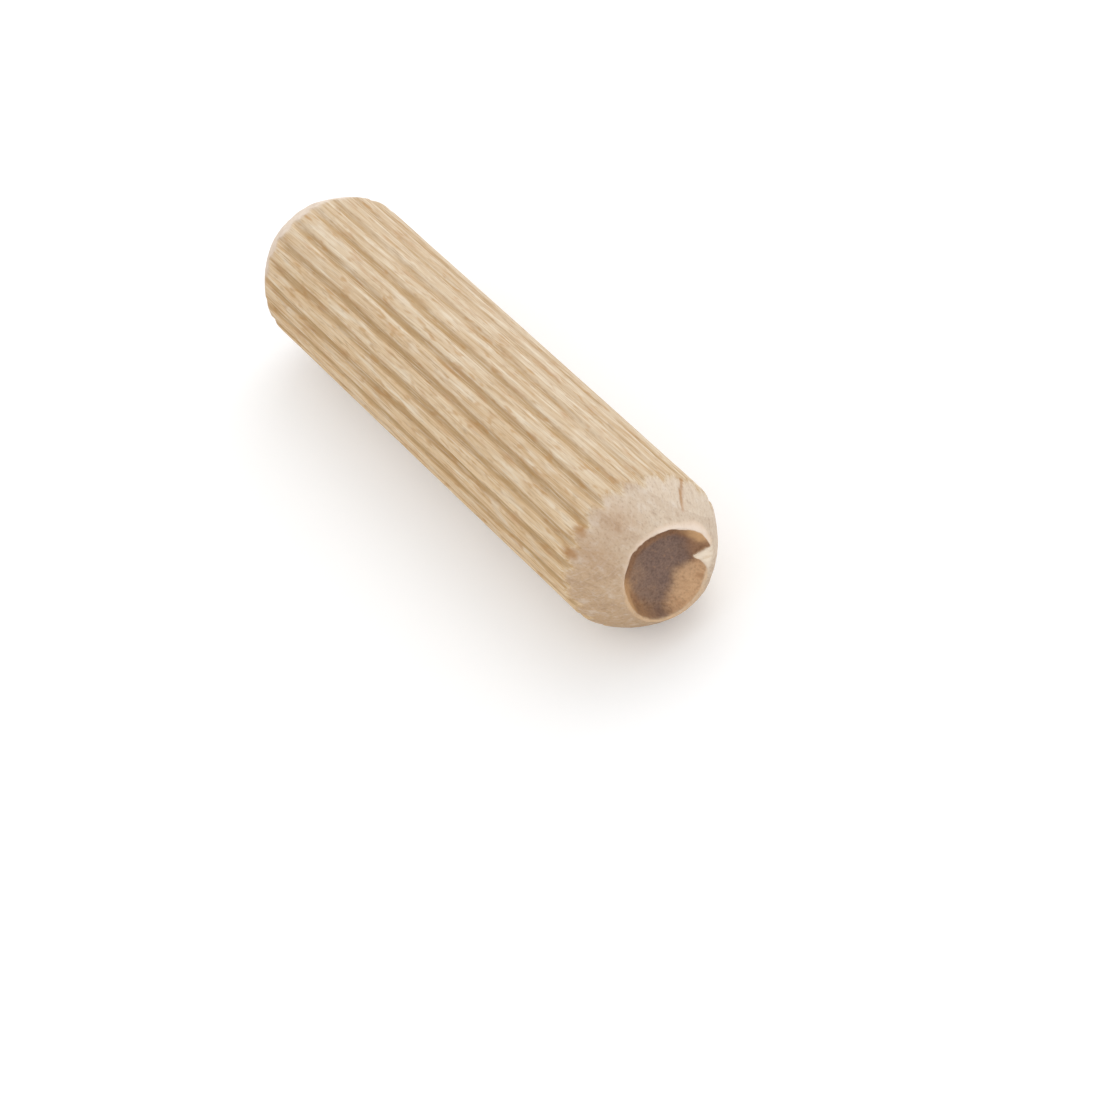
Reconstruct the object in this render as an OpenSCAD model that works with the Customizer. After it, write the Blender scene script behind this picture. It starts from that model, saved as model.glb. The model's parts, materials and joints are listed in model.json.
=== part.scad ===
// Fluted hardwood dowel pin, lying on two of its ribs along X.
// The front end, at +X, has a torn hollow. The back end is sawn flat.

/* [Pin] */
// Diameter over the ribs
pin_d = 8; // [6:0.5:12]
// Overall length
pin_len = 35; // [25:1:60]

/* [Flutes] */
// Number of straight flutes round the pin
flute_count = 22; // [14:1:24]
// Width of one flute, out to the ribs on both sides
flute_w = 0.66; // [0.5:0.02:0.8]
// Depth of one flute below the ribs
flute_depth = 0.22; // [0.14:0.02:0.3]
// Radius of the rounded edges of each rib
rib_edge_r = 0.15; // [0.1:0.01:0.18]

/* [Rounded ends] */
// Length of the rounded end, along the axis
end_len = 2.6; // [2:0.1:3.6]
// How far the rounded end comes in, from the ribs to the end face
end_drop = 1.65; // [1.2:0.05:2]
// How far the rounding bulges past a straight bevel
end_bulge = 0.15; // [0.05:0.05:0.3]

/* [Torn front end] */
// Width of the rim round the torn hollow
rim_w = 0.25; // [0.15:0.05:0.6]
// Depth of the hollow
tear_depth = 0.7; // [0.4:0.05:1.2]
// Height of the hollow's centre above the pin's axis
tear_rise = 0.12; // [0:0.02:0.14]
// Length of the splinter that stands in the hollow
splinter_len = 0.7; // [0.4:0.1:1.2]
// Width of the splinter at the rim
splinter_w = 1.2; // [0.6:0.1:1.4]

/* [Hidden] */
$fn = 72;
pin_r = pin_d / 2;
half_len = pin_len / 2;

// Flute section: a round floor that runs into two rounded rib edges.
flute_half_angle = flute_w / pin_d * 180 / PI;
flute_floor_r = pin_r - flute_depth;
edge_centre_r = pin_r - rib_edge_r;
floor_arc_r = (flute_floor_r ^ 2 + edge_centre_r ^ 2 - rib_edge_r ^ 2
    - 2 * flute_floor_r * edge_centre_r * cos(flute_half_angle))
    / (2 * (rib_edge_r - flute_floor_r + edge_centre_r * cos(flute_half_angle)));
flute_reach = pin_r + 2 * floor_arc_r;
// Neighbouring arcs cross by this much, so that they meet in a clean edge.
arc_lap = 0.004;

// Rounded end: one arc from the ribs to the edge of the end face.
face_r = pin_r - end_drop;
end_chord = norm([end_drop, end_len]);
end_arc_r = (end_chord ^ 2 / 4 + end_bulge ^ 2) / (2 * end_bulge);
end_break = atan2(end_drop, end_len) - asin(end_chord / 2 / end_arc_r);
end_arc_x = pin_r - end_arc_r * cos(end_break);
end_arc_z = half_len - end_len - end_arc_r * sin(end_break);
end_widest_r = end_arc_x + end_arc_r;

// Torn hollow: part of a sphere, inside the rim.
tear_mouth_r = face_r - rim_w;
tear_arc_r = (tear_mouth_r ^ 2 + tear_depth ^ 2) / (2 * tear_depth);
splinter_tip_w = splinter_w / 5;
splinter_top = splinter_w / 6;

// One flute's section, centred on the +X side of the pin's section.
module flute() {
    edge_x = edge_centre_r * cos(flute_half_angle);
    edge_y = edge_centre_r * sin(flute_half_angle);
    reach_x = flute_reach * cos(flute_half_angle);
    reach_y = flute_reach * sin(flute_half_angle);
    floor_x = flute_floor_r + floor_arc_r;
    translate([floor_x, 0])
        circle(floor_arc_r + arc_lap);
    difference() {
        polygon([
            [floor_x, 0],
            [edge_x, edge_y],
            [reach_x, reach_y],
            [reach_x, -reach_y],
            [edge_x, -edge_y]
        ]);
        for (side = [-1, 1])
            translate([edge_x, side * edge_y])
                circle(rib_edge_r + arc_lap);
    }
}

// The pin's cross-section, with a flute at its lowest point once it lies down.
module fluted_section() {
    difference() {
        circle(pin_r);
        for (i = [0 : flute_count - 1])
            rotate(i * 360 / flute_count)
                flute();
    }
}

// Half of the rounded outline, from the pin's middle to one end.
module half_outline() {
    square([end_widest_r, end_arc_z]);
    intersection() {
        translate([end_arc_x, end_arc_z])
            circle(end_arc_r);
        translate([0, end_arc_z])
            square([end_widest_r, half_len - end_arc_z]);
    }
}

// Both rounded ends, turned about the pin's axis.
module rounded_ends() {
    rotate_extrude() {
        half_outline();
        mirror([0, 1])
            half_outline();
    }
}

// Splinter outline, pointing in from the rim.
module splinter() {
    tip_y = tear_mouth_r - splinter_len;
    polygon([
        [-splinter_top, face_r],
        [-splinter_top, tip_y],
        [splinter_tip_w - splinter_top, tip_y],
        [splinter_w - splinter_top, face_r]
    ]);
}

// What is torn out of the front end.
module torn_hollow() {
    difference() {
        translate([-tear_rise, 0, half_len + tear_arc_r - tear_depth])
            sphere(tear_arc_r);
        translate([0, 0, half_len - tear_depth])
            linear_extrude(2 * tear_depth)
                splinter();
    }
}

module dowel_pin() {
    color("#d8bd96")
        rotate([0, 90, 0])
            difference() {
                intersection() {
                    linear_extrude(pin_len, center = true)
                        fluted_section();
                    rounded_ends();
                }
                torn_hollow();
            }
}

dowel_pin();
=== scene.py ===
import json
import math

import bmesh
import bpy
import numpy as np
from mathutils import Matrix, Vector, noise

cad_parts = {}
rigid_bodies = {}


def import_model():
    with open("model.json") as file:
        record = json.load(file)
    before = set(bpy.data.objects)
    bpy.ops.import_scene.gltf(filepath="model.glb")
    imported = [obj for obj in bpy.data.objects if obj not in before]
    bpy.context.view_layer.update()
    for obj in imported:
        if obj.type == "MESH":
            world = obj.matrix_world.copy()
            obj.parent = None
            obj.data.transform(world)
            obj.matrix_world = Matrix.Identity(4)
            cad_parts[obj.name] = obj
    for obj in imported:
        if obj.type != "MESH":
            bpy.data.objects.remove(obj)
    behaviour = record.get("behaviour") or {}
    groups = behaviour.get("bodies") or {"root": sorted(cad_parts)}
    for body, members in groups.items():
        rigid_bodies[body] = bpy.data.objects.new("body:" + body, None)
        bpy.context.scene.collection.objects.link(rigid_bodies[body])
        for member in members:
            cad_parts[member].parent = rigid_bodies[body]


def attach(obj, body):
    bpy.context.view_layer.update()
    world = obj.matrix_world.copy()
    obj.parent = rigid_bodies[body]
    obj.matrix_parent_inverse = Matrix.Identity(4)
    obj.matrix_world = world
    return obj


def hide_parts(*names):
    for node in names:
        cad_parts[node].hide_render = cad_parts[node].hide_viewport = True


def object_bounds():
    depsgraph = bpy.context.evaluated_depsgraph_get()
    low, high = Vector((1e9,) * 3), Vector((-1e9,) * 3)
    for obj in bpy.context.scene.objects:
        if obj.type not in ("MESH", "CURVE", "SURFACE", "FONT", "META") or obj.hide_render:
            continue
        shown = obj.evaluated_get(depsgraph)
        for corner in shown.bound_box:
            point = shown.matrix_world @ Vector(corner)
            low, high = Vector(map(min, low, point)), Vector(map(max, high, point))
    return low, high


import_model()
cadLow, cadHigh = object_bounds()

mm = 0.001
hair = 0.001 * mm  # points closer than this are in one place
backX = cadLow.x
frontX = cadHigh.x
pinLength = frontX - backX
pinRadius = (cadHigh.y - cadLow.y) / 2  # a rib faces straight out on either side


# small helpers

def freshStart():
    if bpy.context.mode != "OBJECT":
        bpy.ops.object.mode_set(mode="OBJECT")
    bpy.ops.object.select_all(action="DESELECT")


def pickVerts(obj, test):
    mesh = bmesh.from_edit_mesh(obj.data)
    for vert in mesh.verts:
        vert.select = test(vert.co)
    mesh.select_flush_mode()
    bmesh.update_edit_mesh(obj.data)


def readPoints(obj):
    points = np.empty(len(obj.data.vertices) * 3)
    obj.data.vertices.foreach_get("co", points)
    return points.reshape(-1, 3)


def writePoints(obj, points):
    obj.data.vertices.foreach_set("co", points.ravel())
    obj.data.update()


def writeShade(obj, name, values):
    shade = obj.data.attributes.get(name) or obj.data.attributes.new(name, "FLOAT", "POINT")
    shade.data.foreach_set("value", values.astype(np.float32))


def readShade(obj, name):
    values = np.empty(len(obj.data.vertices), dtype=np.float32)
    obj.data.attributes[name].data.foreach_get("value", values)
    return values.astype(float)


def ease(values, low, high):
    t = np.clip((values - low) / (high - low), 0, 1)
    return t * t * (3 - 2 * t)


def hump(turn, at, spread):
    # 1 at one angle, falling off to both sides; at and spread are in degrees
    return np.exp(-((turn - math.radians(at)) / math.radians(spread)) ** 2)


def grit(points, size, seed):
    # smooth noise from -1 to 1, with a grain size in metres along each axis
    shift = Vector((seed * 7.31, seed * 3.17, seed * 5.53))
    return np.array([noise.noise(Vector(p) + shift) for p in points / np.array(size)])


# fluted pin, in the CAD's sizes

pin = {
    "flutes": 22,
    "fluteWidth": 0.66 * mm,
    "fluteDepth": 0.22 * mm,
    "ribEdge": 0.15 * mm,
    "endLength": 2.6 * mm,
    "endDrop": 1.65 * mm,
    "endBulge": 0.15 * mm,
    "landSteps": 3,
    "edgeSteps": 3,
    "floorSteps": 4,
    "bodyRings": 140,
    "endRings": 36,
}
pitch = 2 * math.pi / pin["flutes"]
stepsPerFlute = 2 * pin["landSteps"] + 2 * pin["edgeSteps"] + pin["floorSteps"]
spinAxis = (-1, 0, 0)  # spin turns left-handed


def drawSection():
    # one flute's outline in five arcs, then copied round the axis
    halfFlute = pin["fluteWidth"] / (2 * pinRadius)
    edge = pin["ribEdge"]
    edgeOut = pinRadius - edge
    floorOut = pinRadius - pin["fluteDepth"]
    across = edgeOut * math.cos(halfFlute)
    floorArc = floorOut ** 2 + edgeOut ** 2 - edge ** 2 - 2 * floorOut * across
    floorArc = floorArc / (2 * (edge - floorOut + across))
    floorCentre = floorOut + floorArc
    wall = math.atan2(edgeOut * math.sin(halfFlute), floorCentre - across)

    def arc(steps, angle, outwards=0.0, turn=0.0):
        centre = (backX, outwards * math.sin(turn), -outwards * math.cos(turn))
        bpy.ops.mesh.spin(steps=steps, angle=angle, center=centre, axis=spinAxis)

    freshStart()
    start = (backX, -pinRadius * math.sin(pitch / 2), -pinRadius * math.cos(pitch / 2))
    bpy.ops.mesh.primitive_circle_add(vertices=3, radius=0.1 * mm, location=start)
    bpy.ops.object.transform_apply(location=True, rotation=True, scale=True)
    bpy.ops.object.mode_set(mode="EDIT")
    bpy.ops.mesh.merge(type="CENTER")
    arc(pin["landSteps"], pitch / 2 - halfFlute)
    arc(pin["edgeSteps"], wall + halfFlute, edgeOut, -halfFlute)
    arc(pin["floorSteps"], -2 * wall, floorCentre)
    arc(pin["edgeSteps"], wall + halfFlute, edgeOut, halfFlute)
    arc(pin["landSteps"], pitch / 2 - halfFlute)
    bpy.ops.mesh.select_all(action="SELECT")
    others = pin["flutes"] - 1
    bpy.ops.mesh.spin(steps=others, angle=pitch * others, dupli=True,
                      center=(backX, 0, 0), axis=spinAxis)
    bpy.ops.mesh.select_all(action="SELECT")
    bpy.ops.mesh.remove_doubles(threshold=hair)
    return bpy.context.object


def drawOutSides():
    # rings lie closer together where the ends are rounded
    nearEnd = np.linspace(0, pin["endLength"] * 1.2, pin["endRings"] + 1)
    middle = np.linspace(nearEnd[-1], pinLength - nearEnd[-1], pin["bodyRings"] + 1)
    stations = np.concatenate([nearEnd, middle[1:-1], pinLength - nearEnd[::-1]])
    bpy.ops.mesh.select_all(action="SELECT")
    for step in np.diff(stations):
        bpy.ops.mesh.extrude_edges_move(TRANSFORM_OT_translate={"value": (step, 0, 0)})
    bpy.ops.object.mode_set(mode="OBJECT")


# what pressing, handling and the end cutter leave on the sides

wear = {
    "seed": 11,
    "shallowest": 0.35,  # share of its depth that the shallowest flute lacks
    "fluteSway": 0.06 * mm,  # how far a flute wanders to either side
    "faintTurn": 148,  # the side where the flutes are pressed least, from the lowest flute towards +Y
    "faintSpread": 26,
    "faint": 0.3,  # share of its depth that a flute lacks there
    "stainFull": 0.18 * mm,  # depth at which a flute has its full tone
    "fluteFade": (0.4, 0.7),  # how much that tone fades next to the front cut and the back cut
    "ribLow": 0.025 * mm,  # worn patches on the ribs
    "nicks": 60,
    "nickLength": (0.25 * mm, 1.1 * mm),
    "nickWidth": (0.07 * mm, 0.16 * mm),
    "nickDepth": (0.02 * mm, 0.07 * mm),
    "cutWander": 0.10 * mm,  # how far the end cut wanders along the pin
    "cutTilt": 0.12 * mm,  # the front cut reaches further down the -Y side
    "backFull": 0.26 * mm,  # how much less far in the back cut goes
    "backEarly": 0.12 * mm,  # how much sooner the back cut turns pale
    "backHighlight": 0.5,  # how much of the rim's painted highlight the back cut has, standing for the light that falls on it
    "cutRough": 0.02 * mm,
    # brown marks on the front cut: from the end, turn from the top to -Y, length, width, strength
    "bruises": [
        (2.30 * mm, 39, 0.42 * mm, 0.34 * mm, 0.9),
        (2.40 * mm, 56, 0.52 * mm, 0.30 * mm, 0.9),
        (1.30 * mm, 17, 1.20 * mm, 1.30 * mm, 0.42),
        (1.30 * mm, 47, 1.60 * mm, 1.20 * mm, 0.40),
    ],
    # drying crack in the front cut, in two lengths: start and stop of each, from the end and turn
    "cracks": [
        ((2.40 * mm, -50), (1.50 * mm, -44)),
        ((1.60 * mm, -44), (0.75 * mm, -41)),
    ],
    "crackWidth": 0.16 * mm,  # to either side
    "crackDepth": 0.06 * mm,
    "crackJag": 0.06 * mm,
}


def ageSides(obj):
    points = readPoints(obj)
    rng = np.random.default_rng(wear["seed"])
    x = points[:, 0]
    radius = np.hypot(points[:, 1], points[:, 2])
    turn = np.arctan2(points[:, 1], -points[:, 2])  # from the lowest flute, towards +Y
    depth = pinRadius - radius

    # every rib keeps its own tone
    place = turn / pitch - 0.5
    rib = np.floor(place).astype(int)
    tones = rng.uniform(0, 1, pin["flutes"])
    blend = ease(place - rib, 0.3, 0.7)
    tone = tones[rib % pin["flutes"]] * (1 - blend) + tones[(rib + 1) % pin["flutes"]] * blend
    writeShade(obj, "ribTone", tone)

    # flutes pressed unevenly, and least on one side
    flute = np.rint(turn / pitch).astype(int) % pin["flutes"]
    away = (turn - math.radians(wear["faintTurn"]) + math.pi) % (2 * math.pi) - math.pi
    faint = hump(away, 0, wear["faintSpread"])
    along = np.column_stack([x, flute * 5 * mm, np.zeros(len(x))])
    lack = wear["shallowest"] * rng.uniform(0, 1, pin["flutes"])[flute]
    lack = lack * (0.7 + 0.6 * grit(along, (7 * mm, 1 * mm, 1 * mm), 1))
    lack = np.clip(lack, 0, 0.6) + wear["faint"] * faint
    radius = pinRadius - depth * (1 - np.clip(lack, 0, 0.7))
    stain = 0.85 + 0.35 * grit(along, (4 * mm, 1 * mm, 1 * mm), 19)
    stain = stain + 0.4 * grit(points, (1.6 * mm, 0.2 * mm, 0.2 * mm), 26)
    stain = np.clip(stain, 0.3, 1) * (1 - 0.5 * faint)
    writeShade(obj, "flute", ease(depth, 0, wear["stainFull"]) * stain)

    # ribs worn a little low in long patches
    worn = 0.5 + 0.5 * grit(points, (4 * mm, 0.7 * mm, 0.7 * mm), 2)
    fine = 0.5 + 0.5 * grit(points, (1.1 * mm, 0.22 * mm, 0.22 * mm), 3)
    radius -= wear["ribLow"] * (0.6 * worn ** 2 + 0.4 * fine)

    # nicks along the rib edges
    for _ in range(wear["nicks"]):
        atX = rng.uniform(backX, frontX)
        side = rng.choice([-1, 1])
        atTurn = rng.integers(pin["flutes"]) * pitch + side * pin["fluteWidth"] / (2 * pinRadius)
        length = rng.uniform(*wear["nickLength"])
        width = rng.uniform(*wear["nickWidth"])
        away = (turn - atTurn + math.pi) % (2 * math.pi) - math.pi
        bite = np.exp(-((x - atX) / length) ** 2 - (away * pinRadius / width) ** 2)
        radius -= rng.uniform(*wear["nickDepth"]) * bite

    # flutes that wander a little
    sway = grit(points, (6 * mm, 1.6 * mm, 1.6 * mm), 18)
    sway = sway + 0.4 * grit(points, (1.6 * mm, 0.9 * mm, 0.9 * mm), 20)
    turn = turn + wear["fluteSway"] * sway / pinRadius
    points[:, 1] = radius * np.sin(turn)
    points[:, 2] = np.clip(-radius * np.cos(turn), cadLow.z, cadHigh.z)
    writePoints(obj, points)


def endOutline(fromEnd):
    # radius of the rounded end: one arc that bulges past a straight bevel
    chord = math.hypot(pin["endDrop"], pin["endLength"])
    arc = (chord ** 2 / 4 + pin["endBulge"] ** 2) / (2 * pin["endBulge"])
    breakAngle = math.atan2(pin["endDrop"], pin["endLength"]) - math.asin(chord / 2 / arc)
    centreOut = pinRadius - arc * math.cos(breakAngle)
    centreIn = pin["endLength"] + arc * math.sin(breakAngle)
    along = np.clip(centreIn - fromEnd, 0, arc)
    return centreOut + np.sqrt(arc ** 2 - along ** 2)


def roundEnds(obj):
    points = readPoints(obj)
    radius = np.hypot(points[:, 1], points[:, 2])
    atFront = points[:, 0] > 0
    fromEnd = np.where(atFront, frontX - points[:, 0], points[:, 0] - backX)
    wander = wear["cutWander"] * (0.7 * grit(points, (9 * mm, 1.3 * mm, 1.3 * mm), 4)
                                  + 0.3 * grit(points, (3 * mm, 0.4 * mm, 0.4 * mm), 5))
    lean = wear["cutTilt"] * (-points[:, 1] - 0.4 * points[:, 2]) / pinRadius
    outline = endOutline(np.maximum(0, fromEnd + wander + np.where(atFront, -lean, wear["backFull"])))
    outline -= wear["cutRough"] * (0.5 + 0.5 * grit(points, (0.35 * mm, 0.35 * mm, 0.35 * mm), 6))
    cut = ease(radius - outline, -0.03 * mm, 0.05 * mm)
    writeShade(obj, "endCut", cut)
    patchy = 0.08 * mm * grit(points, (0.8 * mm, 0.35 * mm, 0.35 * mm), 21)
    early = np.where(atFront, 0, wear["backEarly"])
    writeShade(obj, "cutTone", ease(radius - outline + patchy + early, -0.05 * mm, 0.24 * mm))
    runOut = ease(-fromEnd, -(pin["endLength"] + 0.7 * mm), -(pin["endLength"] - 0.4 * mm))
    fade = np.where(atFront, *wear["fluteFade"]) * runOut
    writeShade(obj, "flute", readShade(obj, "flute") * (1 - cut) * (1 - fade))
    shrink = np.minimum(1, outline / radius)
    points[:, 1:] *= shrink[:, None]
    writePoints(obj, points)


def markFrontCut(obj):
    points = readPoints(obj)
    fromEnd = frontX - points[:, 0]
    radius = np.hypot(points[:, 1], points[:, 2])
    turn = np.arctan2(-points[:, 1], points[:, 2])  # from the top, towards -Y
    mark = np.zeros(len(points))
    blotch = grit(points, (0.25 * mm, 0.15 * mm, 0.15 * mm), 16)
    for end, at, length, width, strength in wear["bruises"]:
        away = (turn - math.radians(at)) * radius
        spot = np.exp(-((fromEnd - end) / length) ** 2 - (away / width) ** 2)
        mark = np.maximum(mark, strength * spot * (1 + 0.3 * blotch))
    jag = wear["crackJag"] * grit(points, (0.6 * mm, 2 * mm, 2 * mm), 7) + 0.03 * mm * blotch
    for (startEnd, startTurn), (stopEnd, stopTurn) in wear["cracks"]:
        share = np.clip((startEnd - fromEnd) / (startEnd - stopEnd), 0, 1)
        lineTurn = np.radians(startTurn + share * (stopTurn - startTurn))
        away = np.abs((turn - lineTurn) * radius + jag)
        off = np.abs(fromEnd - (startEnd + share * (stopEnd - startEnd)))
        crack = ease(-away, -wear["crackWidth"], -0.02 * mm) * ease(-off, -0.3 * mm, 0)
        crack = crack * (1 - 0.4 * share)
        mark = np.maximum(mark, crack)
        points[:, 1:] *= (1 - wear["crackDepth"] * crack / np.maximum(radius, mm))[:, None]
    writeShade(obj, "mark", mark)
    writePoints(obj, points)


def closeEnds(obj):
    bpy.ops.object.mode_set(mode="EDIT")
    bpy.ops.mesh.select_mode(type="VERT")
    quarter = stepsPerFlute * pin["flutes"] // 4
    for end in (backX, frontX):
        pickVerts(obj, lambda co: abs(co.x - end) < hair)
        # the net has its corners where the rim bulges, and is evened out, so that no face folds over
        bpy.ops.mesh.fill_grid(span=quarter, offset=stepsPerFlute)
        pickVerts(obj, lambda co: abs(co.x - end) < hair)
        bpy.ops.mesh.select_less()
        bpy.ops.mesh.vertices_smooth(factor=0.5, repeat=80)
    bpy.ops.mesh.select_all(action="SELECT")
    bpy.ops.mesh.normals_make_consistent(inside=False)
    bpy.ops.object.mode_set(mode="OBJECT")


# torn front end: a hollow with steep walls, a lower slope of pale torn fibre and one splinter

tear = {
    # radius of the mouth every 15 degrees, from +Y upwards
    "mouth": [2.42, 2.44, 2.46, 2.39, 2.38, 2.40, 2.38, 2.38, 2.39, 2.31, 2.27, 2.20,
              2.15, 2.16, 2.19, 2.22, 2.24, 2.21, 2.15, 2.16, 2.14, 2.08, 2.06, 2.25],
    "ragged": 0.05 * mm,
    "depth": 0.68 * mm,
    "wall": 0.22 * mm,
    "armWall": (30, 20),  # where the wall leans more: turn from +Y upwards, spread
    "leftWall": (180, 26),
    "bend": (0.50 * mm, -0.45 * mm),  # Y, Z where the edge between floor and slope turns
    "slopeWay": (0.836, -0.549),  # left of the bend the slope rises this way
    "armWay": (0.26, -0.965),  # right of it this way
    "slopeLength": 1.45 * mm,
    "stepUp": 0.20,  # shares of the depth by which the step, the slope and the arm rise
    "slopeUp": 0.62,
    "armUp": 0.68,
    "splinterTop": 0.11 * mm,
    "splinterZ": [-1.5, -1.2, -0.9, -0.6, -0.3, 0.0, 0.2],  # left edge of the splinter, in mm
    "splinterY": [1.50, 1.74, 1.84, 1.80, 1.66, 1.50, 1.53],
    "relief": 0.09 * mm,
    "upperShift": (-0.2 * mm, 0.57 * mm),  # Y, Z from the painted shade band to the upper rim whose shade on the floor it stands for
    "leftRust": (198, 36),  # turn and spread of the brown on the left
    "tanPatches": [(177, 22, 1.1), (222, 18, 0.5)],  # turn, spread, strength
    # painted highlight: turn and spread where the mouth's rim is painted brighter and wider
    "highlightTurn": (47, 43),
}


def insideMouth(y, z):
    # how far a point of the end face lies inside the ragged mouth
    turn = np.arctan2(z, y)
    ring = np.column_stack([np.cos(turn), np.sin(turn), np.zeros(len(y))])
    ragged = 0.6 * grit(ring, (0.3, 0.3, 1), 8) + 0.4 * grit(ring, (0.1, 0.1, 1), 9)
    waves = np.fft.rfft(tear["mouth"]) / len(tear["mouth"])
    mouth = waves[0].real + sum(2 * (waves[k] * np.exp(1j * k * turn)).real for k in range(1, 11))
    return mouth * mm + tear["ragged"] * ragged - np.hypot(y, z)


def tearFront(obj):
    points = readPoints(obj)
    y = points[:, 1]
    z = points[:, 2]
    flat = np.column_stack([np.zeros(len(y)), y, z])
    reach = np.hypot(y, z)
    turn = np.arctan2(z, y) % (2 * math.pi)
    inside = insideMouth(y, z)
    leftWall = hump(turn, *tear["leftWall"])
    armWall = hump(turn, *tear["armWall"])
    wallWidth = tear["wall"] * (1 + 2.4 * armWall + 1.1 * leftWall)

    # floor in the upper left, slope in the lower right
    bendY, bendZ = tear["bend"]
    wayY, wayZ = tear["slopeWay"]
    armY, armZ = tear["armWay"]
    up = (y - bendY) * wayY + (z - bendZ) * wayZ
    across = (y - bendY) * -wayZ + (z - bendZ) * wayY
    under = (y - bendY) * armY + (z - bendZ) * armZ
    torn = np.column_stack([up, across, np.zeros(len(y))])
    edge = np.minimum(up, under) + 0.12 * mm * grit(flat, (1, 0.6 * mm, 0.6 * mm), 10)
    edge = edge + 0.10 * mm * grit(torn, (0.5 * mm, 0.13 * mm, 1), 17)
    slope = ease(edge, -0.15 * mm, tear["slopeLength"])
    step = ease(edge, -0.12 * mm, 0.16 * mm)
    arm = ease(y, 0.9 * mm, 1.7 * mm) * (1 - ease(z, 0.6 * mm, 1.3 * mm)) * (1 - step)
    floor = tear["depth"] * (1 - tear["stepUp"] * step - tear["slopeUp"] * slope - tear["armUp"] * arm)
    wall = ease(inside, -0.03 * mm, wallWidth)

    # splinter: nearly level top edge, left edge falling back to the rim
    leftEdge = np.interp(z / mm, tear["splinterZ"], tear["splinterY"]) * mm
    below = tear["splinterTop"] - z + 0.05 * (y - 1.5 * mm)
    below = below + 0.03 * mm * grit(flat, (1, 0.25 * mm, 0.25 * mm), 11)
    beyond = y - leftEdge + 0.04 * mm * grit(flat, (1, 0.2 * mm, 0.2 * mm), 12)
    soft = 0.10 * mm + 0.12 * mm * ease(below, 0.2 * mm, 0.7 * mm)
    splinter = ease(below, -0.07 * mm, 0.07 * mm) * ease(beyond / soft, -0.5, 1)
    splinter *= ease(-below, -1.9 * mm, -1.2 * mm)

    # broken ends of fibres: pitted on the floor, drawn out along the slope
    pits = 0.6 * grit(flat, (1, 0.22 * mm, 0.22 * mm), 13)
    pits = pits + 0.4 * grit(flat, (1, 0.10 * mm, 0.10 * mm), 14)
    shreds = grit(torn, (0.7 * mm, 0.13 * mm, 1), 15)
    combed = grit(flat, (1, 0.9 * mm, 0.10 * mm), 25)
    relief = tear["relief"] * (pits * (1 - step) + (0.4 * pits + 0.7 * shreds) * step)
    depth = wall * (1 - splinter) * np.maximum(0, floor + relief * wall)
    bent = 0.10 * ease(-beyond, -0.5 * mm, 0) + 0.06 * (0.5 + 0.5 * combed)
    depth += mm * bent * splinter * ease(inside, -0.2 * mm, 0.2 * mm)
    frontPart = points[:, 0] > frontX - 1.2 * mm
    points[:, 0] = np.where(frontPart, np.minimum(points[:, 0], frontX - depth), points[:, 0])
    writePoints(obj, points)

    # where each colour of the tear lies
    onFace = frontPart & (reach < 2.8 * mm)
    onSplinter = ease(splinter, 0.45, 0.95)
    lip = ease(splinter, 0.02, 0.4) * (1 - onSplinter)
    inHollow = ease(inside, -0.02 * mm, 0.06 * mm) * (1 - onSplinter) * onFace
    cloudy = grit(flat, (1, 0.8 * mm, 0.8 * mm), 22) + 0.5 * grit(flat, (1, 0.3 * mm, 0.3 * mm), 23)
    rosy = np.clip(0.08 + 0.12 * cloudy + 0.22 * ease(-y, -0.2 * mm, 1.6 * mm), 0, 0.4)
    # painted shade: the floor's dark share stands for the shade in the hollow under the upper rim and
    # for its darker end grain; the slope stays pale
    fresh = 0.72 * ease(edge + 0.05 * mm * cloudy, -0.22 * mm, 0.36 * mm)
    fresh = fresh + 0.28 * ease(edge, 0.2 * mm, 1.1 * mm)
    hollowShade = (1 - fresh) * (1 - rosy)
    # brown round the floor: painted shade in a band under the upper rim, where the rim shades the
    # floor; brown in a wider band on the left, and in the arm
    shiftY, shiftZ = tear["upperShift"]
    upper = ease(np.sin(turn), -0.1, 0.4)
    upper = upper * (1 - ease(insideMouth(y + shiftY, z + shiftZ), 0.08 * mm, 0.45 * mm))
    left = hump(turn, *tear["leftRust"]) * (1 - ease(inside, 0.25 * mm, 0.85 * mm))
    out = ease(y, 1.1 * mm, 1.8 * mm) * (1 - ease(z, 0.6 * mm, 1.3 * mm))
    brownAndRimShade = np.clip(np.maximum(np.maximum(upper, left), out) * (1 + 0.3 * cloudy), 0, 1) * (1 - step)
    lowArm = 1 - 0.2 * ease(-z, -0.70 * mm, -0.35 * mm)
    # painted light: pale tan on the left and lower left walls, where they face the light; tan too on
    # the arm's wall and by the splinter's lip
    band = leftWall * (1 - ease(inside, 0.10 * mm, 0.40 * mm))
    glow = sum(strength * hump(turn, at, spread) for at, spread, strength in tear["tanPatches"])
    band += 0.6 * glow * (1 - ease(inside, 0.30 * mm, 0.95 * mm))
    band += armWall * lowArm * (1 - ease(inside, 0.15 * mm, 0.70 * mm))
    wallTanAndLight = np.clip(band * (1 + 0.4 * cloudy) + 0.5 * lip, 0, 1) * (1 - step)
    frayed = 0.5 + 0.5 * grit(flat, (1, 0.28 * mm, 0.28 * mm), 24)
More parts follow.
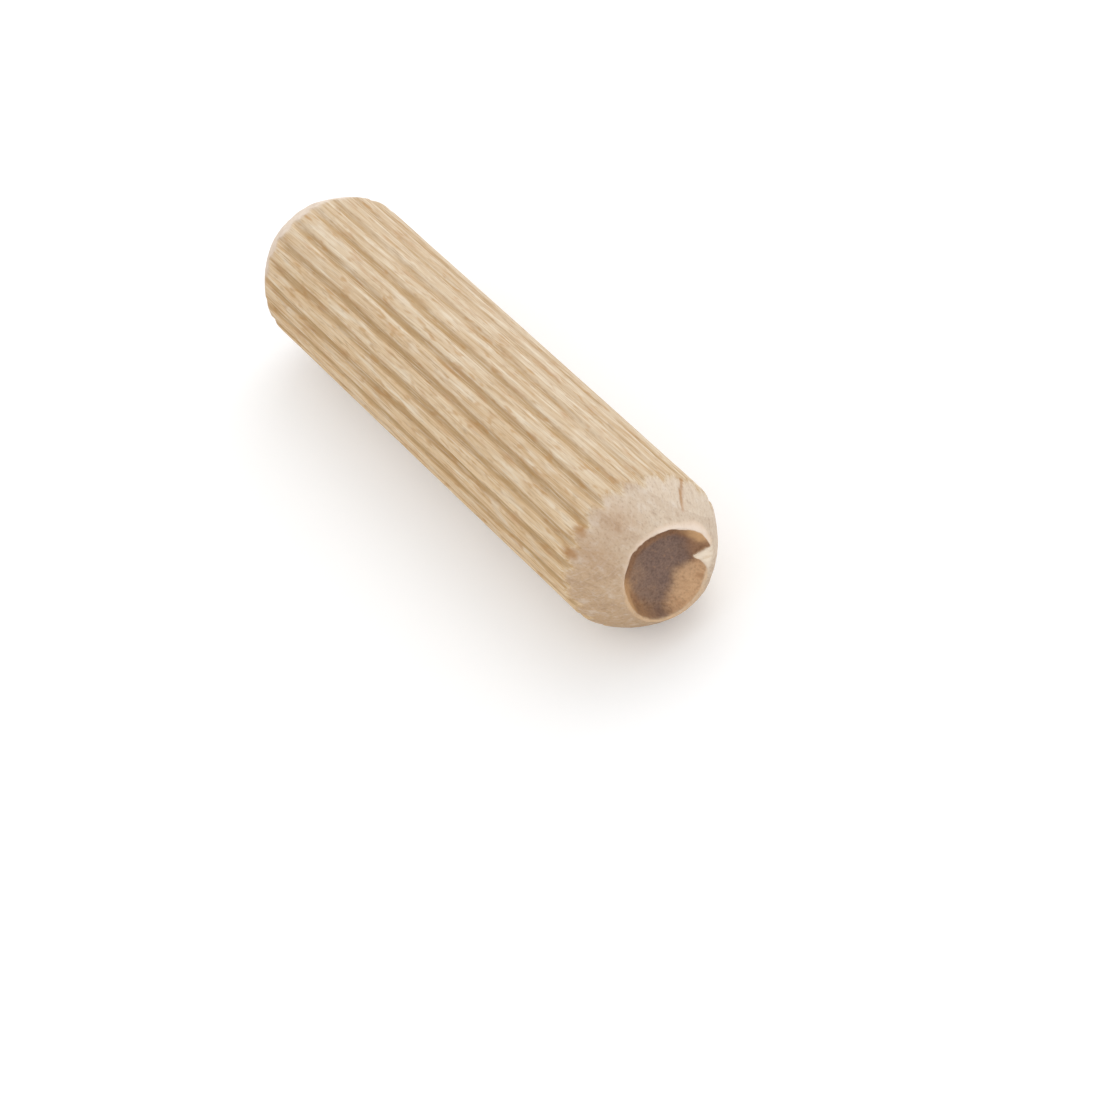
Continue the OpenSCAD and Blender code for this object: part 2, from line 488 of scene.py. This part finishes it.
    # pale frayed rim round the mouth, with painted highlight: wider and brighter at the upper right and
    # along the bottom, where its edge catches the light, and paler on the upper half
    highlightSide = hump(turn, *tear["highlightTurn"])
    lowSide = ease(-np.sin(turn - math.radians(30)), -0.7, 0.0)
    rimWidth = 1 + 0.9 * highlightSide + 0.7 * lowSide
    brink = ease(inside / rimWidth, -0.20 * mm, -0.03 * mm) * (1 - inHollow) * onFace
    brink = brink * np.clip(0.25 + 0.65 * frayed + 0.4 * highlightSide, 0, 1)
    lit = ease(np.sin(turn + math.radians(8)), -0.1, 0.5)
    writeShade(obj, "torn", inHollow)
    writeShade(obj, "hollowShade", hollowShade)
    # painted shade: the hollow and the splinter are painted darker where broken fibres lie deeper and
    # paler where they stand higher
    broken = combed * splinter + (pits * (1 - step) + shreds * step) * (1 - splinter)
    writeShade(obj, "pitShade", 0.5 + 0.5 * broken)
    writeShade(obj, "wallTanAndLight", wallTanAndLight)
    writeShade(obj, "brownAndRimShade", brownAndRimShade)
    writeShade(obj, "brink", brink * (1 - onSplinter))
    # painted highlight: the back cut takes part of the rim's pale tone, as the light falls on it
    backCutHighlight = wear["backHighlight"] * readShade(obj, "cutTone") * (points[:, 0] < 0)
    writeShade(obj, "rimHighlight", brink * lit * (1 - onSplinter) + backCutHighlight)
    writeShade(obj, "splinter", onSplinter * onFace * ease(inside, -0.35 * mm, 0.25 * mm))
    flatEnd = (np.abs(np.abs(points[:, 0]) - frontX) < 2 * hair) | (inHollow > 0)
    for name in ("endCut", "cutTone"):
        writeShade(obj, name, np.where(flatEnd, 1, readShade(obj, name)))
    backFace = points[:, 0] < backX + 2 * hair
    writeShade(obj, "sawn", backFace.astype(float))


dowel = drawSection()
dowel.name = "fluted_pin"
print("section drawn:", len(dowel.data.vertices), "points")
drawOutSides()
print("sides drawn out:", len(dowel.data.vertices), "points")
ageSides(dowel)
roundEnds(dowel)
markFrontCut(dowel)
print("sides aged, ends rounded")
closeEnds(dowel)
tearFront(dowel)
print("front torn:", len(dowel.data.polygons), "faces")
freshStart()
dowel.select_set(True)
bpy.context.view_layer.objects.active = dowel
bpy.ops.object.shade_smooth_by_angle(angle=math.radians(40))


# materials

def linear(hexColour):
    parts = [int(hexColour[i:i + 2], 16) / 255 for i in (1, 3, 5)]
    return [c / 12.92 if c <= 0.04045 else ((c + 0.055) / 1.055) ** 2.4 for c in parts] + [1.0]


def addNode(tree, kind, inputs=None, out=0, **settings):
    node = tree.nodes.new(kind)
    for name, value in settings.items():
        setattr(node, name, value)
    for name, value in (inputs or {}).items():
        if isinstance(value, bpy.types.NodeSocket):
            tree.links.new(value, node.inputs[name])
        else:
            node.inputs[name].default_value = value
    return node.outputs[out]


beech = {
    "paleLitSide": "#dccab0",
    "warmShadedSide": "#ebcca1",
    "streakDark": "#cba97c",
    "ringDark": "#c7a173",
    "ribDark": "#c9a77d",
    "fibreDark": "#b89365",
    "fibrePale": "#efe2cd",
    "pressed": "#b59362",
    "blush": "#bb8c5e",
    "chalk": "#f1e6d4",
    "ray": "#bd9059",
    "pore": "#9a7751",
    "cutLitSide": "#dfcdb9",
    "cutShadedSide": "#c6a583",
    "cutDark": "#a88a70",
    "cutPale": "#efe4d8",
    "cutPore": "#93735a",
    "sawn": "#bf9e79",
    "sawnRing": "#96724e",
    "tornPale": "#d8b088",
    "tornPaleDark": "#b98f6a",
    "tornDark": "#8a7165",
    "tornDarkest": "#6a554b",
    "tornBrownShade": "#99704f",
    "tornWall": "#dcb080",
    "highlightPale": "#f5e6d9",
    "brinkTan": "#e8c298",
    "splinterDark": "#e0c29c",
    "splinter": "#fbead4",
    "bruise": "#b07e4c",
    "ringTurn": 53,  # the centre of the rings lies below on the -Y side; sides and cuts are painted warmer and darker towards that side, standing for painted shade and warm reflected light
    "grainOff": (0.8, -1.0),  # degrees that the grain lies off the axis
    "heartAway": 38 * mm,
    "ringWidth": 1.7 * mm,
    "fibre": (4.5 * mm, 0.14 * mm, 0.14 * mm),  # bundles of fibres, each fibre is too fine to show
    "thread": (3.5 * mm, 0.06 * mm, 0.06 * mm),
    "streak": (14 * mm, 0.5 * mm, 0.5 * mm),
    "patch": (1.9 * mm, 0.38 * mm, 0.38 * mm),
    "rayDash": (1.1 * mm, 0.12 * mm, 0.35 * mm),
    "rayLine": (0.5 * mm, 0.08 * mm, 1.6 * mm),  # the same rays, cut across
    "pores": (0.7 * mm, 0.07 * mm, 0.07 * mm),
    "fuzz": (0.20 * mm, 0.11 * mm, 0.11 * mm),
    "bump": 0.05 * mm,
}


def rawBeech():
    # beech, fluted by pressing and cut across at the ends: matt, with fine streaks along the fibre,
    # short dark ray dashes, burnished flute floors and pale speckled cuts
    material = bpy.data.materials.new("raw_beech")
    material.use_nodes = True
    tree = material.node_tree
    shader = tree.nodes["Principled BSDF"]
    shader.inputs["IOR"].default_value = 1.5
    shader.inputs["Specular IOR Level"].default_value = 0.25
    tint = {name: linear(value) for name, value in beech.items() if isinstance(value, str)}

    shade = {}
    for name in ("flute", "ribTone", "endCut", "cutTone", "mark", "torn", "hollowShade", "pitShade", "brownAndRimShade",
                 "wallTanAndLight", "brink", "rimHighlight", "splinter", "sawn"):
        shade[name] = addNode(tree, "ShaderNodeAttribute", out="Fac", attribute_name=name)

    place = addNode(tree, "ShaderNodeTexCoord", out="Object")
    turned = [math.radians(angle) for angle in (beech["ringTurn"], *beech["grainOff"])]
    grain = addNode(tree, "ShaderNodeMapping", {"Vector": place, "Rotation": turned})
    pattern = {}
    for name, detail in (("fibre", 3), ("thread", 1), ("streak", 2), ("patch", 2), ("rayDash", 1),
                         ("rayLine", 1), ("pores", 0), ("fuzz", 3)):
        fit = addNode(tree, "ShaderNodeVectorMath", {0: grain, 1: [1 / size for size in beech[name]]},
                      operation="MULTIPLY")
        pattern[name] = addNode(tree, "ShaderNodeTexNoise", {
            "Vector": fit, "Scale": 1.0, "Detail": detail})

    fromHeart = addNode(tree, "ShaderNodeVectorMath", {
        0: grain, 1: (0, 0, beech["heartAway"])}, operation="ADD")
    ring = addNode(tree, "ShaderNodeTexWave", {
        "Vector": fromHeart, "Scale": 2 * math.pi / (20 * beech["ringWidth"]),
        "Distortion": 1.2, "Detail": 1.0, "Detail Scale": 0.4,
    }, out="Fac", wave_type="RINGS", rings_direction="X", wave_profile="SAW")

    # each layer: what it follows, the range of that which shows, how strong it gets, and its colour
    def layer(under, follow, start, full, strength, colour):
        share = addNode(tree, "ShaderNodeMapRange", {
            "Value": follow, "From Min": start, "From Max": full, "To Min": 0.0, "To Max": strength,
        }, interpolation_type="SMOOTHSTEP")
        return addNode(tree, "ShaderNodeMix", {0: share, 6: under, 7: colour}, out=2, data_type="RGBA")

    # sides: painted reflection, the lower -Y side warmer and the +Y side paler, standing for warm light
    # bounced onto the lower side; moved about by rings, streaks and fibres
    shadedToLit = addNode(tree, "ShaderNodeSeparateXYZ", {0: grain}, out=2)
    side = layer(tint["warmShadedSide"], shadedToLit, -4.5 * mm, 4.5 * mm, 1, tint["paleLitSide"])
    side = layer(side, pattern["streak"], 0.65, 0.35, 0.3, tint["streakDark"])
    side = layer(side, ring, 0.55, 1, 0.2, tint["ringDark"])
    side = layer(side, shade["ribTone"], 0, 1, 0.2, tint["ribDark"])
    side = layer(side, pattern["patch"], 0.48, 0.26, 0.4, tint["chalk"])
    side = layer(side, pattern["fibre"], 0.48, 0.75, 0.6, tint["fibreDark"])
    side = layer(side, pattern["fibre"], 0.47, 0.25, 0.65, tint["fibrePale"])
    side = layer(side, shade["flute"], 0, 1, 0.68, tint["pressed"])
    side = layer(side, pattern["thread"], 0.50, 0.78, 0.5, tint["fibreDark"])
    side = layer(side, pattern["thread"], 0.47, 0.22, 0.5, tint["fibrePale"])
    side = layer(side, pattern["patch"], 0.56, 0.76, 0.4, tint["blush"])
    side = layer(side, pattern["rayDash"], 0.58, 0.74, 0.5, tint["ray"])
    side = layer(side, pattern["pores"], 0.64, 0.76, 0.2, tint["pore"])

    # cut ends: paler, mottled by broken fibre ends; painted shade makes them darker towards the lower
    # -Y side, where less light falls
    fresh = layer(tint["cutShadedSide"], shadedToLit, -4 * mm, 3 * mm, 1, tint["cutLitSide"])
    cut = addNode(tree, "ShaderNodeMix", {0: 0.8, 6: side, 7: fresh}, out=2, data_type="RGBA")
    cut = layer(cut, ring, 0.5, 1, 0.16, tint["cutDark"])
    cut = layer(cut, pattern["patch"], 0.52, 0.75, 0.3, tint["cutDark"])
    cut = layer(cut, pattern["patch"], 0.48, 0.25, 0.3, tint["cutPale"])
    cut = layer(cut, pattern["rayLine"], 0.55, 0.75, 0.15, tint["cutPale"])
    cut = layer(cut, pattern["fuzz"], 0.5, 0.8, 0.22, tint["cutDark"])
    cut = layer(cut, pattern["fuzz"], 0.5, 0.2, 0.22, tint["cutPale"])
    cut = layer(cut, pattern["pores"], 0.64, 0.76, 0.15, tint["cutPore"])
    cut = layer(cut, shade["brink"], 0, 1, 0.8, tint["brinkTan"])
    # painted highlight on the upper half of the rim and on the back cut
    cut = layer(cut, shade["rimHighlight"], 0, 1, 0.8, tint["highlightPale"])
    sawn = addNode(tree, "ShaderNodeMix", {0: 0.75, 6: side, 7: tint["sawn"]}, out=2, data_type="RGBA")
    sawn = layer(sawn, ring, 0.35, 1, 0.22, tint["sawnRing"])
    sawn = layer(sawn, pattern["rayLine"], 0.54, 0.72, 0.4, tint["cutPale"])
    sawn = layer(sawn, pattern["fuzz"], 0.45, 0.8, 0.3, tint["sawnRing"])
    sawn = layer(sawn, pattern["pores"], 0.6, 0.72, 0.4, tint["cutPore"])
    cut = layer(cut, shade["sawn"], 0, 1, 1, sawn)
    colour = layer(side, shade["cutTone"], 0, 1, 1, cut)

    # torn hollow: tan slope of torn fibre; dark floor, painted shade in the hollow under the upper rim,
    # over darker end grain
    slope = layer(tint["tornPale"], pattern["fuzz"], 0.35, 0.7, 0.4, tint["tornPaleDark"])
    slope = layer(slope, shade["pitShade"], 0.5, 0.85, 0.5, tint["tornPaleDark"])
    floor = layer(tint["tornDark"], pattern["fuzz"], 0.35, 0.7, 0.5, tint["tornDarkest"])
    floor = layer(floor, shade["pitShade"], 0.5, 0.8, 0.6, tint["tornDarkest"])
    floor = layer(floor, shade["pitShade"], 0.42, 0.2, 0.35, tint["tornPaleDark"])
    hollow = layer(slope, shade["hollowShade"], 0, 1, 1, floor)
    hollow = layer(hollow, shade["brownAndRimShade"], 0, 1, 0.75, tint["tornBrownShade"])
    hollow = layer(hollow, shade["wallTanAndLight"], 0, 1, 0.85, tint["tornWall"])
    hollow = layer(hollow, pattern["fuzz"], 0.45, 0.75, 0.14, tint["tornDarkest"])
    colour = layer(colour, shade["torn"], 0, 1, 1, hollow)
    sliver = layer(tint["splinter"], shade["pitShade"], 0.5, 0.8, 0.6, tint["splinterDark"])
    colour = layer(colour, shade["splinter"], 0, 1, 1, sliver)
    colour = layer(colour, shade["mark"], 0, 1, 0.75, tint["bruise"])
    tree.links.new(colour, shader.inputs["Base Color"])

    rough = addNode(tree, "ShaderNodeMapRange", {
        "Value": pattern["fibre"], "From Min": 0.3, "From Max": 0.7, "To Min": 0.62, "To Max": 0.82})
    tree.links.new(rough, shader.inputs["Roughness"])
    fine = addNode(tree, "ShaderNodeMix", {0: shade["endCut"], 2: pattern["fibre"], 3: pattern["fuzz"]})
    pits = addNode(tree, "ShaderNodeMapRange", {
        "Value": pattern["pores"], "From Min": 0.62, "From Max": 0.74, "To Min": 1.0, "To Max": 0.0})
    height = addNode(tree, "ShaderNodeMath", {0: fine, 1: pits}, operation="MULTIPLY")
    bump = addNode(tree, "ShaderNodeBump", {
        "Height": height, "Strength": 0.45, "Distance": beech["bump"]})
    tree.links.new(bump, shader.inputs["Normal"])
    return material


dowel.data.materials.append(rawBeech())
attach(dowel, "root")
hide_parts("dowel_pin")
print("beech laid on")


# floor, light and camera

camera = {
    "imageSize": 1100,
    "focalPixels": 6000,
    "sensor": 36.0,
    "azimuth": math.radians(73.157),
    "elevation": math.radians(38.630),
    "roll": math.radians(-20.680),
    "depth": 284.2 * mm,
    "pinAt": (483.8, 406.2),
}

studio = {
    "sky": 0.90,
    "key": 0.47,
    "keyAt": (-0.15, 0.26, 0.30),
    "keySize": 0.35,
    "floorLift": 0.25,
}


def placeCamera():
    az = camera["azimuth"]
    el = camera["elevation"]
    back = Vector((math.sin(az) * math.cos(el), -math.cos(az) * math.cos(el), math.sin(el)))
    flatRight = Vector((math.cos(az), math.sin(az), 0))
    flatUp = back.cross(flatRight)
    right = flatRight * math.cos(camera["roll"]) + flatUp * math.sin(camera["roll"])
    up = back.cross(right)
    half = camera["imageSize"] / 2
    pixel = camera["depth"] / camera["focalPixels"]
    spot = back * camera["depth"]
    spot -= right * (camera["pinAt"][0] - half) * pixel
    spot += up * (camera["pinAt"][1] - half) * pixel
    freshStart()
    bpy.ops.object.camera_add(location=spot)
    eye = bpy.context.object
    eye.rotation_mode = "QUATERNION"
    eye.rotation_quaternion = Matrix((right, up, back)).transposed().to_quaternion()
    eye.data.sensor_width = camera["sensor"]
    eye.data.lens = camera["sensor"] * camera["focalPixels"] / camera["imageSize"]
    eye.data.clip_start = 0.01
    eye.data.clip_end = 10
    bpy.context.scene.camera = eye


def seenDirectly(tree):
    # 1 for what the eye, a gloss or a glass shows, 0 for light that falls on things
    rays = addNode(tree, "ShaderNodeLightPath", out="Is Camera Ray").node
    shine = addNode(tree, "ShaderNodeMath", {
        0: rays.outputs["Is Glossy Ray"], 1: rays.outputs["Is Transmission Ray"]}, operation="MAXIMUM")
    return addNode(tree, "ShaderNodeMath", {
        0: rays.outputs["Is Camera Ray"], 1: shine}, operation="MAXIMUM")


def layFloor():
    freshStart()
    bpy.ops.mesh.primitive_plane_add(size=4, location=(0, 0, cadLow.z))
    floor = bpy.context.object
    floor.name = "floor"
    material = bpy.data.materials.new("white_paper")
    material.use_nodes = True
    tree = material.node_tree
    shader = tree.nodes["Principled BSDF"]
    shader.inputs["Base Color"].default_value = linear("#e8e8e8")
    shader.inputs["Roughness"].default_value = 0.9
    shader.inputs["Emission Color"].default_value = linear("#ffffff")
    lift = addNode(tree, "ShaderNodeMath", {
        0: seenDirectly(tree), 1: studio["floorLift"]}, operation="MULTIPLY")
    tree.links.new(lift, shader.inputs["Emission Strength"])
    floor.data.materials.append(material)


def lightStudio():
    world = bpy.data.worlds.new("studio")
    bpy.context.scene.world = world
    world.use_nodes = True
    tree = world.node_tree
    sky = tree.nodes["Background"]
    sky.inputs["Color"].default_value = linear("#ffffff")
    level = addNode(tree, "ShaderNodeMapRange", {
        "Value": seenDirectly(tree), "To Min": studio["sky"], "To Max": 1.0})
    tree.links.new(level, sky.inputs["Strength"])
    freshStart()
    bpy.ops.object.light_add(type="AREA", location=studio["keyAt"])
    key = bpy.context.object
    key.data.energy = studio["key"]
    key.data.size = studio["keySize"]
    key.rotation_mode = "QUATERNION"
    key.rotation_quaternion = Vector(studio["keyAt"]).to_track_quat("Z", "Y")


placeCamera()
layFloor()
lightStudio()
bpy.context.scene.view_settings.view_transform = "Standard"
print("camera, floor and light placed")
